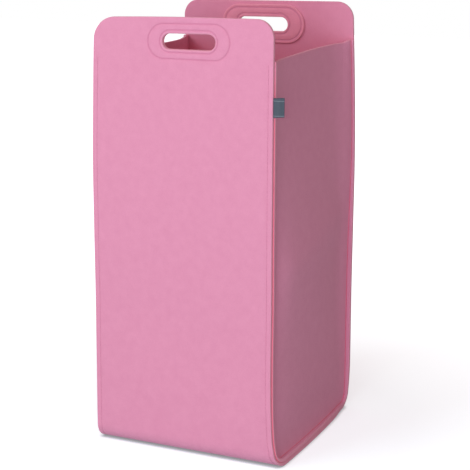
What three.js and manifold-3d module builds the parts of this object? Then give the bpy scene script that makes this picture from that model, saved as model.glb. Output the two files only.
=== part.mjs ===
// A free-standing laundry hamper of thick felt, sewn from flat pieces.
// One wide strip makes the front wall, the base and the back wall, and turns up in round bends.
// A felt panel closes each side. Its edges are turned out and lie on the inside of the strip,
// flush with the strip's cut edge, and one seam holds both layers down, along and up again.
// Each wall has a hand hole with a felt patch behind it, held by two rings of stitches.
// The hamper folds flat: the front wall slides up to the back wall and the soft middle folds away,
// so the strip and the side panels are split where the walls end and the soft middle begins.
//
// Millimetres. +Z is up, +X is to the right seen from the front, +Y runs from front to back.
// The origin is the centre of the underside.
import * as THREE from 'three';
import { mergeVertices } from 'three/addons/utils/BufferGeometryUtils.js';
import Module from 'manifold-3d';

const wasm = await Module();
wasm.setup();

// Whole hamper
const width = 300; // from cut edge to cut edge
const depth = 320; // over the front and back walls
const height = 670; // top edge of the front and back walls
const sideDrop = 59; // top edge of the walls down to the top edge of the side panels

// Felt
const feltThickness = 5;
const patchThickness = 3;
const bendRadius = 25; // outside of the bend between base and wall
const bandMargin = 7; // how far the walls' share of the base and sides reaches past the bend
const broadCornerRadius = 40; // top left corner of the front wall
const tightCornerRadius = 27; // the other top corners
const layerGap = 0.3; // between pieces that lie on each other

// Side panel edges, turned out along the seam
const allowance = 8.5; // flat part of the turned-out edge
const turnRadius = 1; // hollow of the turn, seen from outside

// Hand holes and their patches
const handleLength = 88;
const handleHeight = 25;
const handleDrop = 35; // top edge of the wall to the middle of the hole
const frontHandleShift = 12; // middle of the hole from the middle of the wall, to the right
const backHandleShift = 5.5; // the same on the back wall, seen from behind
const patchLength = 146;
const patchHeight = 62;

// Sewing thread
const threadDiameter = 0.8;
const threadDepth = 0.1; // how far a thread lies below the face of the felt
const rimInset = 4; // edge of the hole to the inner ring of stitches
const patchInset = 5; // edge of the patch to the outer ring of stitches
const seamStart = 4; // top edge of the side panel to the first stitch

// Woven label, folded in half and caught in the seam
const labelHeight = 28;
const labelDrop = 51; // top edge of the side panel down to the label
const labelReach = 18; // how far the loop stands out past the cut edge
const labelLayer = 0.5; // thickness of one layer of the ribbon
const labelBulge = 1.3; // how far the loop opens at each side

// Cuts run this far past what they cut
const overrun = 1;

// Roundness
const bendSteps = 8;
const turnSteps = 5;
const holeSteps = 16;
const labelSteps = 12;

const colours = {
  felt: '#df93b3',
  sideFelt: '#d987a8',
  patch: '#d488a8',
  thread: '#c56f92',
  label: '#4f5a72',
};

const sideHeight = height - sideDrop;
const splitY = depth / 2 - bendRadius - bandMargin;
const patchFace = feltThickness + layerGap + patchThickness;
const flangeBack = feltThickness + layerGap;
const flangeFace = flangeBack + feltThickness;
const flangeInnerX = width / 2 - allowance;
const panelOuterX = flangeInnerX - turnRadius;
const panelInnerX = panelOuterX - feltThickness;
const grooveWidth = threadDiameter + 2 * layerGap;
const seamX = flangeInnerX + grooveWidth / 2;
const handleZ = height - handleDrop;
const labelTop = sideHeight - labelDrop;
const labelBottom = labelTop - labelHeight;

// Points of the U that the strip follows, at a distance in from its outside, as [y, z]
function stripLine(inset, top) {
  const points = [];
  const radius = bendRadius - inset;
  const middleY = depth / 2 - bendRadius;
  for (let i = 0; i <= bendSteps; i++) {
    const angle = (Math.PI / 2) * (i / bendSteps);
    points.push([-middleY - radius * Math.cos(angle), bendRadius - radius * Math.sin(angle)]);
  }
  const front = [[inset - depth / 2, top], ...points];
  const back = front.map(([y, z]) => [-y, z]).reverse();
  return [...front, ...back];
}

// A layer that follows the strip, between two distances in from its outside
function layerShape(outerInset, innerInset, top) {
  const outline = [...stripLine(outerInset, top), ...stripLine(innerInset, top).reverse()];
  return new THREE.Shape(outline.map(([y, z]) => new THREE.Vector2(y, z)));
}

function stadiumOutline(target, x, z, length, height) {
  const radius = height / 2;
  const reach = length / 2 - radius;
  target.moveTo(x - reach, z - radius);
  target.lineTo(x + reach, z - radius);
  target.absarc(x + reach, z, radius, -Math.PI / 2, Math.PI / 2);
  target.lineTo(x - reach, z + radius);
  target.absarc(x - reach, z, radius, Math.PI / 2, 1.5 * Math.PI);
  return target;
}

// A flat ring with round ends, as wide as given, its middle line as long and high as given
function ringShape(x, length, height, ringWidth) {
  const outer = [x, handleZ, length + ringWidth, height + ringWidth];
  const inner = [x, handleZ, length - ringWidth, height - ringWidth];
  const shape = stadiumOutline(new THREE.Shape(), ...outer);
  shape.holes.push(stadiumOutline(new THREE.Path(), ...inner));
  return shape;
}

// Extrusions of a shape drawn in (y, z), in (x, z) and in (x, y)
function extrudeAlongX(shape, fromX, toX) {
  const geometry = new THREE.ExtrudeGeometry(shape, { depth: toX - fromX, bevelEnabled: false });
  const turn = new THREE.Matrix4().makeBasis(
    new THREE.Vector3(0, 1, 0),
    new THREE.Vector3(0, 0, 1),
    new THREE.Vector3(1, 0, 0),
  );
  return geometry.applyMatrix4(turn).translate(fromX, 0, 0);
}

function extrudeAlongY(shape, fromY, toY) {
  const options = { depth: toY - fromY, bevelEnabled: false, curveSegments: holeSteps };
  const geometry = new THREE.ExtrudeGeometry(shape, options);
  const turn = new THREE.Matrix4().makeBasis(
    new THREE.Vector3(1, 0, 0),
    new THREE.Vector3(0, 0, 1),
    new THREE.Vector3(0, -1, 0),
  );
  return geometry.applyMatrix4(turn).translate(0, toY, 0);
}

function extrudeAlongZ(shape, fromZ, toZ) {
  const options = { depth: toZ - fromZ, bevelEnabled: false };
  return new THREE.ExtrudeGeometry(shape, options).translate(0, 0, fromZ);
}

function block(fromX, toX, fromY, toY, fromZ, toZ) {
  const geometry = new THREE.BoxGeometry(toX - fromX, toY - fromY, toZ - fromZ);
  return geometry.translate((fromX + toX) / 2, (fromY + toY) / 2, (fromZ + toZ) / 2);
}

// Solids for joining and cutting, and their way back to a geometry
function solid(geometry) {
  const plain = geometry.clone();
  plain.deleteAttribute('normal');
  plain.deleteAttribute('uv');
  const merged = mergeVertices(plain);
  return new wasm.Manifold(
    new wasm.Mesh({
      numProp: 3,
      vertProperties: merged.attributes.position.array,
      triVerts: Uint32Array.from(merged.index.array),
    }),
  );
}

function geometryOf(body) {
  const { vertProperties, triVerts } = body.getMesh();
  const geometry = new THREE.BufferGeometry();
  geometry.setAttribute('position', new THREE.BufferAttribute(vertProperties, 3));
  geometry.setIndex(new THREE.BufferAttribute(triVerts, 1));
  geometry.computeVertexNormals();
  return geometry;
}

function piece(name, body, colour, roughness = 0.95) {
  const material = new THREE.MeshStandardMaterial({ color: colour, roughness, metalness: 0 });
  const mesh = new THREE.Mesh(geometryOf(body), material);
  mesh.name = name;
  return mesh;
}

// What a wall keeps of a long piece, and what is left to the soft middle
function wallShare(body) {
  const reach = width / 2 + overrun;
  const top = height + overrun;
  return body.intersect(solid(block(-reach, reach, -depth / 2 - overrun, -splitY, -overrun, top)));
}

function middleShare(body) {
  const reach = width / 2 + overrun;
  const end = splitY - layerGap;
  return body.intersect(solid(block(-reach, reach, -end, end, -overrun, height + overrun)));
}

// A thread of a seam, or with play its groove. The needle's thread lies on the outside of the
// strip and the bobbin's on the turned-out edge of the side panel.
function seamThread(sideSign, kind, play = 0) {
  const half = threadDiameter / 2 + play;
  const top = sideHeight - seamStart + play;
  const open = play > 0 ? overrun : 0;
  const near = threadDepth - play;
  const far = threadDepth + threadDiameter + play;
  const insets = kind === 'needle' ? [near - open, far] : [flangeFace - far, flangeFace - near + open];
  const shape = layerShape(...insets, top);
  return solid(extrudeAlongX(shape, sideSign * seamX - half, sideSign * seamX + half));
}

// A ring of thread round the hand hole, or with play its groove
function ringThread(shift, ring, kind, play = 0) {
  const open = play > 0 ? overrun : 0;
  const near = threadDepth - play - open;
  const far = threadDepth + threadDiameter + play;
  const [length, high] = ring === 'rim'
    ? [handleLength + 2 * rimInset, handleHeight + 2 * rimInset]
    : [patchLength - 2 * patchInset, patchHeight - 2 * patchInset];
  const shape = ringShape(shift, length, high, threadDiameter + 2 * play);
  const insets = kind === 'needle' ? [near, far] : [patchFace - far, patchFace - near];
  const [fromY, toY] = insets.map((inset) => inset - depth / 2);
  return solid(extrudeAlongY(shape, fromY, toY));
}

// The outline of a wall seen from outside, with its round top corners and its hand hole
function wallOutline(shift, leftRadius) {
  const half = width / 2;
  const shape = new THREE.Shape();
  shape.moveTo(-half, -overrun);
  shape.lineTo(half, -overrun);
  shape.absarc(half - tightCornerRadius, height - tightCornerRadius, tightCornerRadius, 0, Math.PI / 2);
  shape.absarc(leftRadius - half, height - leftRadius, leftRadius, Math.PI / 2, Math.PI);
  shape.holes.push(stadiumOutline(new THREE.Path(), shift, handleZ, handleLength, handleHeight));
  return shape;
}

function strip() {
  return solid(extrudeAlongX(layerShape(0, feltThickness, height), -width / 2, width / 2));
}

// Both seams' needle grooves, cut out of the strip
function withSeamGrooves(body) {
  return body
    .subtract(seamThread(-1, 'needle', layerGap))
    .subtract(seamThread(1, 'needle', layerGap));
}

function wall(shift, leftRadius) {
  const outline = wallOutline(shift, leftRadius);
  const share = solid(extrudeAlongY(outline, -depth / 2 - overrun, -splitY));
  return withSeamGrooves(strip().intersect(share))
    .subtract(ringThread(shift, 'rim', 'needle', layerGap))
    .subtract(ringThread(shift, 'patch', 'needle', layerGap));
}

function handlePatch(shift) {
  const shape = stadiumOutline(new THREE.Shape(), shift, handleZ, patchLength, patchHeight);
  shape.holes.push(stadiumOutline(new THREE.Path(), shift, handleZ, handleLength, handleHeight));
  const back = feltThickness + layerGap - depth / 2;
  return solid(extrudeAlongY(shape, back, back + patchThickness))
    .subtract(ringThread(shift, 'rim', 'bobbin', layerGap))
    .subtract(ringThread(shift, 'patch', 'bobbin', layerGap));
}

// Cross-section of a side panel's edge as [x, inset], from the cut edge along the strip, round
// the turn and a little way up the panel, then back along the other face
function turnedEdge() {
  const turnInset = flangeFace + turnRadius;
  const turn = (radius) => {
    const points = [];
    for (let i = 0; i <= turnSteps; i++) {
      const angle = (Math.PI / 2) * (i / turnSteps);
      points.push([flangeInnerX - radius * Math.sin(angle), turnInset - radius * Math.cos(angle)]);
    }
    return points;
  };
  return [
    [width / 2, flangeBack],
    ...turn(turnRadius + feltThickness),
    [panelInnerX, turnInset + overrun],
    [panelOuterX, turnInset + overrun],
    ...turn(turnRadius).reverse(),
    [width / 2, flangeFace],
  ];
}

// A closed body with the given cross-section, drawn along the U of the strip
function sweepAlongStrip(section, top) {
  const rows = section.map(([x, inset]) => stripLine(inset, top).map(([y, z]) => [x, y, z]));
  const steps = rows[0].length;
  const place = (i, j) => (i % rows.length) * steps + j;
  const faces = [];
  for (let i = 0; i < rows.length; i++) {
    for (let j = 0; j + 1 < steps; j++) {
      faces.push(place(i, j), place(i, j + 1), place(i + 1, j + 1));
      faces.push(place(i, j), place(i + 1, j + 1), place(i + 1, j));
    }
  }
  const flat = section.map(([x, inset]) => new THREE.Vector2(x, inset));
  for (const [a, b, c] of THREE.ShapeUtils.triangulateShape(flat, [])) {
    faces.push(place(a, 0), place(b, 0), place(c, 0));
    faces.push(place(a, steps - 1), place(c, steps - 1), place(b, steps - 1));
  }
  const geometry = new THREE.BufferGeometry();
  geometry.setAttribute('position', new THREE.Float32BufferAttribute(rows.flat(2), 3));
  geometry.setIndex(faces);
  return geometry;
}

// A whole side panel with its turned-out edges: 1 is the side at +X and -1 the side at -X
function sidePanel(sideSign) {
  const section = turnedEdge().map(([x, inset]) => [sideSign * x, inset]);
  const edges = solid(sweepAlongStrip(sideSign > 0 ? section.reverse() : section, sideHeight));
  const inset = flangeFace + turnRadius + overrun / 2;
  const outline = stripLine(inset, sideHeight).map(([y, z]) => new THREE.Vector2(y, z));
  const [fromX, toX] = sideSign > 0 ? [panelInnerX, panelOuterX] : [-panelOuterX, -panelInnerX];
  const plate = solid(extrudeAlongX(new THREE.Shape(outline), fromX, toX));
  return edges.add(plate).subtract(seamThread(sideSign, 'bobbin', layerGap));
}

// The label's ribbon seen from above: two layers held together in the seam, then the open loop
function labelSide(grow) {
  const points = [];
  for (let i = 0; i <= labelSteps; i++) {
    const t = i / labelSteps;
    const swell = labelBulge * Math.sin(Math.PI * t ** 1.5) ** 2;
    const nose = Math.sqrt(Math.max(0, 1 - t ** 12));
    points.push([width / 2 + t * (labelReach - labelLayer + grow), nose * (grow + swell)]);
  }
  return points;
}

function labelOutline() {
  const middleY = flangeBack + layerGap + labelLayer - depth / 2;
  const round = (points) => [...points.map(([x, y]) => [x, -y]), ...points.slice(0, -1).reverse()];
  const place = ([x, y]) => new THREE.Vector2(x, middleY + y);
  const outside = [[flangeInnerX, labelLayer], ...labelSide(labelLayer)];
  const inside = labelSide(0).slice(1);
  const shape = new THREE.Shape(round(outside).map(place));
  shape.holes.push(new THREE.Path(round(inside).map(place)));
  return shape;
}

function label() {
  return solid(extrudeAlongZ(labelOutline(), labelBottom, labelTop));
}

// The pocket that the label's tail presses into the turned-out edge
function labelPocket() {
  const fromX = flangeInnerX - layerGap;
  const fromY = -depth / 2 + flangeBack - overrun;
  const toY = -depth / 2 + flangeBack + 2 * (labelLayer + layerGap);
  const fromZ = labelBottom - layerGap;
  const toZ = labelTop + layerGap;
  return solid(block(fromX, width / 2 + overrun, fromY, toY, fromZ, toZ));
}

// A wall with all that travels with it. The back wall's group is turned round, so the side
// at +X in it is the left side of the hamper.
function wallGroup(name, shift, leftRadius, sides, hasLabel) {
  const group = new THREE.Group();
  group.add(piece(`${name}_wall`, wall(shift, leftRadius), colours.felt));
  group.add(piece(`${name}_handle_patch`, handlePatch(shift), colours.patch));
  for (const ring of ['rim', 'patch']) {
    for (const kind of ['needle', 'bobbin']) {
      const threadName = `${name}_handle_${ring}_${kind}_thread`;
      group.add(piece(threadName, ringThread(shift, ring, kind), colours.thread, 0.7));
    }
  }
  for (const [side, sideSign] of sides) {
    let edge = wallShare(sidePanel(sideSign));
    if (hasLabel && sideSign > 0) {
      edge = edge.subtract(labelPocket());
      group.add(piece('woven_label', label(), colours.label, 0.8));
    }
    group.add(piece(`${side}_side_${name}_edge`, edge, colours.sideFelt));
    for (const kind of ['needle', 'bobbin']) {
      const thread = wallShare(seamThread(sideSign, kind));
      group.add(piece(`${side}_${name}_seam_${kind}_thread`, thread, colours.thread, 0.7));
    }
  }
  return group;
}

// The soft middle that folds away: the base, the two sides and the seams between them
function middleGroup() {
  const group = new THREE.Group();
  group.add(piece('base_panel', middleShare(withSeamGrooves(strip())), colours.felt));
  for (const [side, sideSign] of [['left', -1], ['right', 1]]) {
    group.add(piece(`${side}_side_panel`, middleShare(sidePanel(sideSign)), colours.sideFelt));
    for (const kind of ['needle', 'bobbin']) {
      const thread = middleShare(seamThread(sideSign, kind));
      group.add(piece(`${side}_base_seam_${kind}_thread`, thread, colours.thread, 0.7));
    }
  }
  return group;
}

const hamper = new THREE.Group();
const frontSides = [['left', -1], ['right', 1]];
const backSides = [['right', -1], ['left', 1]];
hamper.add(wallGroup('front', frontHandleShift, broadCornerRadius, frontSides, true));
hamper.add(middleGroup());
const back = wallGroup('back', backHandleShift, tightCornerRadius, backSides, false);
back.rotation.z = Math.PI;
hamper.add(back);

export default hamper;
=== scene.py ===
"""Looks of the felt laundry hamper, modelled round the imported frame. Metres, +Z up, front at -Y."""

import math

import bpy
import numpy as np
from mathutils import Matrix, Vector
from mathutils.geometry import delaunay_2d_cdt

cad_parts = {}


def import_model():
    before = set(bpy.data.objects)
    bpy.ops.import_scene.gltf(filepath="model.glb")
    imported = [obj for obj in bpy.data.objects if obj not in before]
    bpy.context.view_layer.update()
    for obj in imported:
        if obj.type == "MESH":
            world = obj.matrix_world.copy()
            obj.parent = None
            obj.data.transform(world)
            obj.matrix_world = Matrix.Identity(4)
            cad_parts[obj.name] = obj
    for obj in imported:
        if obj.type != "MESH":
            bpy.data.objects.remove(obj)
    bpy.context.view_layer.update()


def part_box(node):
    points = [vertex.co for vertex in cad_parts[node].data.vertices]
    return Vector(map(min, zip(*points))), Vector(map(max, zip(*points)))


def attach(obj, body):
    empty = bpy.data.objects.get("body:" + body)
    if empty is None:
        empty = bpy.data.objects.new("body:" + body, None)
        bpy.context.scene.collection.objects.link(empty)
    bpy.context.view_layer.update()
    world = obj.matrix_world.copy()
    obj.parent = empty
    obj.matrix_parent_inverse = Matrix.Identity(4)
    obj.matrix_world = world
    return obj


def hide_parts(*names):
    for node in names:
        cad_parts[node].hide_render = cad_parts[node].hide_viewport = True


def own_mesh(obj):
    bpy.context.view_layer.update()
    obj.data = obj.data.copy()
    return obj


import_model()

MM = 0.001

# Sizes read from the frame
wall_low, wall_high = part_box("front_wall")
side_low, side_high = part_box("right_side_panel")
seam_low, seam_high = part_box("right_front_seam_needle_thread")
HALF_WIDTH = wall_high.x
HALF_DEPTH = -wall_low.y
HEIGHT = wall_high.z
SPLIT_Y = -wall_high.y
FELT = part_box("base_panel")[1].z
SIDE_TOP = side_high.z
PANEL_INNER_X = side_low.x
PANEL_OUTER_X = PANEL_INNER_X + FELT
STITCH_X = (seam_low.x + seam_high.x) / 2
STITCH_TOP = seam_high.z

# Sizes of the felt work that the frame's boxes don't give
BEND = 25 * MM  # outside radius where the strip turns up
BROAD_CORNER = 34 * MM  # top left corner of the front wall, which sags too
TIGHT_CORNER = 27 * MM  # the other top corners
TURN = 1 * MM  # hollow of the side panel's turned-out edge
LAYER_GAP = 0.3 * MM
FACE_GAP = FELT + LAYER_GAP  # outside of the strip to the back of what lies on its inside
FLANGE_FACE = FACE_GAP + FELT
FLANGE_X = PANEL_OUTER_X + TURN

# Rounded cut edges, and the dents that the stitches press
CUT_ROUND = 1.1 * MM
RIM_ROUND = 2.4 * MM
PATCH_RIM_ROUND = RIM_ROUND * 0.6
HIDDEN_ROUND = 0.3  # share of the rounding on the side that lies against the next layer
RING_DENT = 0.75 * MM
RING_REACH = 1.3 * MM
SEAM_DENT = 0.3 * MM
HOLE_DENT = 0.45 * MM  # more at each needle hole of a seam
SEAM_REACH = 2.1 * MM
SEAM_PAST = 3 * MM  # the dent goes on past a seam's last stitch
SEAM_FADE = 4 * MM
EDGE_DENT = 0.3 * MM

# Mesh spacing
GRID = 6 * MM
ROW_SHARE = 0.87  # distance of the grid's rows, as a share of its spacing
FREE_SHARE = 0.45  # how far the grid's points stay from the fixed ones
OUTLINE_STEP = 2.5 * MM
LONG_STEP = OUTLINE_STEP * 2
HOLE_STEP = 1.2 * MM
RING_STEP = HOLE_STEP * 1.6
NEAR = 0.01 * MM  # a point this near to a line lies on it
MERGE = 1e-7  # points nearer than this are one

# How far the soft walls have moved from the flat, square hamper
FOOT_OUT = (2 * MM, 8 * MM)  # left and right edge of the front wall near the floor, outwards
FRONT_LEAN = (11.5 * MM, 4.4 * MM)  # left and right end of its top edge, inwards
FRONT_SAG = 7.4 * MM  # its top left corner, down
FRONT_RISE = 1.4 * MM  # its top edge, up
LEFT_OUT = 1.5 * MM  # its left edge above the middle
BACK_OUT = 7.9 * MM  # belly of the back wall
BACK_LEAN = 12.4 * MM  # its top edge, inwards
BACK_RISE = 5.8 * MM  # its top right corner, up
BACK_WIDE = 1.3 * MM  # its right edge, outwards
BASE_SKEW = 0.047  # the right edge of the base stands out in front and draws in behind
BASE_SKEW_Y = 37 * MM
BASE_BOW = 3.6 * MM  # the sides of the base, outwards at their middle
FOOT_FLARE = 4.5 * MM  # the right edge of the base, outwards
TOE_FLARE = 3.2 * MM  # its lowest part, except behind
SIDE_IN = 6 * MM  # top edge of the side panels, inwards
SIDE_TILT = 1.3 * MM  # their top edge, up at the back and down in front
LEFT_SIDE_SAG = 2.6 * MM  # the left panel's top edge, down
WALL_WAVE = 0.12 * MM
SIDE_WAVE = 0.14 * MM

# Where these moves act. A bell is given by its height and its reach. "Along" runs from -1 at the
# front wall to 1 at the back wall.
WALL_DEEP = 10 * MM  # a wall's moves fade out from this far inside its face to its split line
SIDE_DEEP = 8 * MM  # a side panel's moves, over this distance inside it
SIDE_END = 12 * MM  # a side's length ends this far inside the walls' faces
OUTER_START = HALF_WIDTH / 3
UPPER = (0.45, 0.65)  # the walls lean from and over these shares of the side panels' height
FOOT_BELL = (50 * MM, 110 * MM)
BACK_BELL = (457 * MM, 170 * MM)
LEFT_BELL = (450 * MM, 120 * MM)
SAG_BELOW = 50 * MM  # the front wall sags from this far below the side panels' top
BASE_HIGH = (140, 60)  # millimetres up the sides that the base shapes, and how many less behind
FOOT_HIGH = 50 * MM
TOE_HIGH = 13 * MM
FLARE_SHARE = (0.6, 0.4)  # at the side's middle, and how much less behind
TOE_END = (0.5, 1)  # where the toe fades out along the side
SIDE_IN_MORE = 0.8  # more of it behind, less in front
SAG_MORE = 0.4
SAG_END = (0.6, 1.05)
WAVE_HIGH = 60 * MM  # below this, the waves fade out towards the floor
WALL_WAVES = ((31 * MM, 47 * MM, 23 * MM, 60 * MM), (1.3, 0))  # wave lengths and phases
SIDE_WAVES = ((29 * MM, 41 * MM, 27 * MM, 50 * MM), (0.4, 2))


def smooth_step(value, start, end):
    t = np.clip((value - start) / (end - start), 0, 1)
    return t * t * (3 - 2 * t)


def bell(value, centre, reach):
    return np.exp(-(((value - centre) / reach) ** 2))


def dent(distance, depth, reach):
    return depth * bell(distance, 0, reach)


def waves(across, up, lengths, phases):
    """Faint waves in a sheet of felt."""
    crossed = np.sin(across / lengths[0] + phases[0]) * np.sin(up / lengths[1] + phases[1])
    return crossed + np.sin(up / lengths[2] + across / lengths[3])


def settle(points):
    """Moves points of the flat, square hamper to where its soft felt stands."""
    p = np.array(points, float)
    x, y, z = p[:, 0].copy(), p[:, 1].copy(), p[:, 2].copy()
    front = smooth_step(-y, SPLIT_Y, HALF_DEPTH - WALL_DEEP)
    back = smooth_step(y, SPLIT_Y, HALF_DEPTH - WALL_DEEP)
    right = (1 + x / HALF_WIDTH) / 2
    left = 1 - right
    rise = np.clip(z / SIDE_TOP, 0, 1)
    upper = np.clip((z / SIDE_TOP - UPPER[0]) / UPPER[1], 0, 1)
    lean = upper ** 2 * (FRONT_LEAN[0] * left + FRONT_LEAN[1] * right)
    foot = FOOT_OUT[0] * left + FOOT_OUT[1] * right
    p[:, 1] += front * (lean - foot * bell(z, *FOOT_BELL))
    p[:, 1] += back * (BACK_OUT * bell(z, *BACK_BELL) - BACK_LEAN * upper ** 2)
    sag = FRONT_SAG * left ** 2 - FRONT_RISE
    p[:, 2] -= front * sag * smooth_step(z, SIDE_TOP - SAG_BELOW, HEIGHT)
    left_edge = smooth_step(-x, OUTER_START, HALF_WIDTH)
    p[:, 0] -= front * LEFT_OUT * bell(z, *LEFT_BELL) * left_edge
    p[:, 2] += back * BACK_RISE * right * upper
    along = np.clip(y / (HALF_DEPTH - SIDE_END), -1, 1)
    low = np.clip(1 - z / ((BASE_HIGH[0] - BASE_HIGH[1] * along) * MM), 0, 1) ** 2
    outer = smooth_step(abs(x), OUTER_START, HALF_WIDTH)
    p[:, 0] += BASE_SKEW * (BASE_SKEW_Y - y) * low * outer * (x > 0)
    p[:, 0] += np.sign(x) * BASE_BOW * (1 - along ** 2) * low * outer
    foot_low = np.clip(1 - z / FOOT_HIGH, 0, 1) ** 2
    toe_low = np.clip(1 - z / TOE_HIGH, 0, 1) * (1 - smooth_step(along, *TOE_END))
    flare = FOOT_FLARE * (FLARE_SHARE[0] - FLARE_SHARE[1] * along) * foot_low + TOE_FLARE * toe_low
    p[:, 0] += flare * outer * (x > 0)
    p[:, 0] += back * BACK_WIDE * outer * (x > 0)
    on_side = smooth_step(abs(x), PANEL_INNER_X - SIDE_DEEP, PANEL_INNER_X)
    on_side = on_side * (1 - front) * (1 - back)
    drawn_in = on_side * SIDE_IN * rise ** 3 * (1 - along ** 2) * (1 + SIDE_IN_MORE * along)
    p[:, 0] -= np.sign(x) * drawn_in
    p[:, 2] += on_side * SIDE_TILT * along * rise ** 4
    sag = LEFT_SIDE_SAG * (1 + SAG_MORE * along) * (1 - smooth_step(along, *SAG_END))
    p[:, 2] -= on_side * sag * rise ** 4 * (x < 0)
    clear = np.clip(z / WAVE_HIGH, 0, 1)
    p[:, 1] += WALL_WAVE * (front + back) * clear * waves(x, z, *WALL_WAVES)
    p[:, 0] += SIDE_WAVE * on_side * clear * waves(y, z, *SIDE_WAVES)
    return p


# Outlines, as arrays of points in a plane, going round against the clock unless said otherwise
def line(start, end, step):
    count = max(1, round(math.dist(start, end) / step))
    t = np.arange(count)[:, None] / count
    return np.array(start) * (1 - t) + np.array(end) * t


def arc(centre, radius, start, end, step):
    count = max(3, round(abs(end - start) * radius / step))
    angles = start + (end - start) * np.arange(count) / count
    return np.array(centre) + radius * np.stack([np.cos(angles), np.sin(angles)], 1)


def stadium(x, z, length, height, step):
    radius = height / 2
    reach = length / 2 - radius
    return np.concatenate([
        line((x - reach, z - radius), (x + reach, z - radius), step),
        arc((x + reach, z), radius, -math.pi / 2, math.pi / 2, step),
        line((x + reach, z + radius), (x - reach, z + radius), step),
        arc((x - reach, z), radius, math.pi / 2, 1.5 * math.pi, step),
    ])


def stadium_distance(p, x, z, length, height):
    """Distance of points from the outline of a stadium, negative inside."""
    radius = height / 2
    reach = length / 2 - radius
    along = np.clip(p[:, 0] - x, -reach, reach)
    return np.hypot(p[:, 0] - x - along, p[:, 1] - z) - radius


def outward(points):
    ahead = np.roll(points, -1, 0) - np.roll(points, 1, 0)
    ahead /= np.linalg.norm(ahead, axis=1)[:, None]
    return np.stack([ahead[:, 1], -ahead[:, 0]], 1)


def inside(points, loops):
    """Which points lie inside an odd number of the loops."""
    found = np.zeros(len(points), bool)
    px, py = points[:, :1], points[:, 1:]
    for loop in loops:
        a, b = loop, np.roll(loop, -1, 0)
        crosses = (a[:, 1] > py) != (b[:, 1] > py)
        slope = (b[:, 0] - a[:, 0]) / np.where(b[:, 1] == a[:, 1], 1, b[:, 1] - a[:, 1])
        found ^= (crosses & (px < a[:, 0] + (py - a[:, 1]) * slope)).sum(1) % 2 == 1
    return found


def lattice(low, high):
    """Rows of points, each second row shifted by half a step."""
    xs = np.arange(low[0], high[0], GRID)
    ys = np.arange(low[1], high[1], GRID * ROW_SHARE)
    grid = np.stack(np.meshgrid(xs, ys), -1)
    grid[1::2, :, 0] += GRID / 2
    return grid.reshape(-1, 2)


def thin_out(points, fixed, distance):
    """Leaves out the points that lie nearer than a distance to a fixed one."""
    cells = {tuple(c) for c in np.floor(fixed / distance).astype(int)}
    around = [(i, j) for i in (-1, 0, 1) for j in (-1, 0, 1)]
    near = []
    for x, y in np.floor(points / distance).astype(int):
        near.append(any((x + i, y + j) in cells for i, j in around))
    return points[~np.array(near)]


def ring_edges(first, count):
    return [(first + i, first + (i + 1) % count) for i in range(count)]


def linked(name, data):
    obj = bpy.data.objects.new(name, data)
    bpy.context.scene.collection.objects.link(obj)
    return obj


def mesh_object(name, vertices, faces, material, attributes=None, sharp=()):
    mesh = bpy.data.meshes.new(name)
    mesh.from_pydata([tuple(v) for v in vertices], [], [tuple(f) for f in faces])
    mesh.update(calc_edges=True)
    mesh.polygons.foreach_set("use_smooth", [True] * len(mesh.polygons))
    if sharp:
        pairs = np.zeros(2 * len(mesh.edges), np.int64)
        mesh.edges.foreach_get("vertices", pairs)
        pairs = np.sort(pairs.reshape(-1, 2), 1)
        wanted = np.sort(np.array(sharp), 1)
        keys = pairs[:, 0] * len(vertices) + pairs[:, 1]
        marked = np.isin(keys, wanted[:, 0] * len(vertices) + wanted[:, 1])
        mesh.attributes.new("sharp_edge", "BOOLEAN", "EDGE").data.foreach_set("value", marked)
    for key, values in (attributes or {}).items():
        layer = mesh.attributes.new(key, "FLOAT", "POINT")
        layer.data.foreach_set("value", np.asarray(values, np.float32))
    mesh.materials.append(material)
    mesh.update()
    return linked(name, mesh)


def triangulated(rims, guides):
    """Points and triangles that fill the rims and follow the guides, and the rims' point numbers."""
    coords, edges, starts = [], [], []
    for rim in rims:
        starts.append(sum(map(len, coords)))
        coords.append(rim)
        edges += ring_edges(starts[-1], len(rim))
    for guide in guides:
        first = sum(map(len, coords))
        coords.append(guide)
        edges += [(first + i, first + i + 1) for i in range(len(guide) - 1)]
    fixed = np.concatenate(coords)
    free = lattice(fixed.min(0), fixed.max(0))
    free = thin_out(free[inside(free, rims)], fixed, GRID * FREE_SHARE)
    flat = [Vector(p) for p in np.concatenate([fixed, free])]
    found, _, triangles, origin, _, _ = delaunay_2d_cdt(flat, edges, [], 0, MERGE)
    found = np.array([tuple(v) for v in found])
    index = {old: new for new, olds in enumerate(origin) for old in olds}
    triangles = np.array([t for t in triangles if len(t) == 3])
    triangles = triangles[inside(found[triangles].mean(1), rims)]
    used, compact = np.unique(triangles, return_inverse=True)
    renumber = {old: new for new, old in enumerate(used)}
    rings = []
    for start, rim in zip(starts, rims):
        rings.append([renumber[index[start + i]] for i in range(len(rim))])
    return found[used], compact.reshape(-1, 3), rings


EDGE_ROWS = 4  # rows of points on each rounding
FLAT_LEFT = 0.3  # a cut edge keeps a flat middle if each rounding takes less than this share of it
FLAT_MIDDLE = [(0, 0.36), (0, 0.5), (0, 0.64)]
ROUND_MIDDLE = [(0, 0.5)]
CUT_SPREAD = 12  # how soon the colour of a cut edge is full, from its face inwards


def cut_profile(rounding):
    """How far each row of points on a cut edge is set in, and its share of the thickness."""
    angles = [math.pi / 2 * i / EDGE_ROWS for i in range(1, EDGE_ROWS + 1)]
    seen = [(1 - math.sin(a), rounding / FELT * (1 - math.cos(a))) for a in angles]
    middle = FLAT_MIDDLE if seen[-1][1] < FLAT_LEFT else ROUND_MIDDLE
    hidden = [(inset, 1 - share * HIDDEN_ROUND) for inset, share in reversed(seen)]
    return seen + middle + hidden


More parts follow.
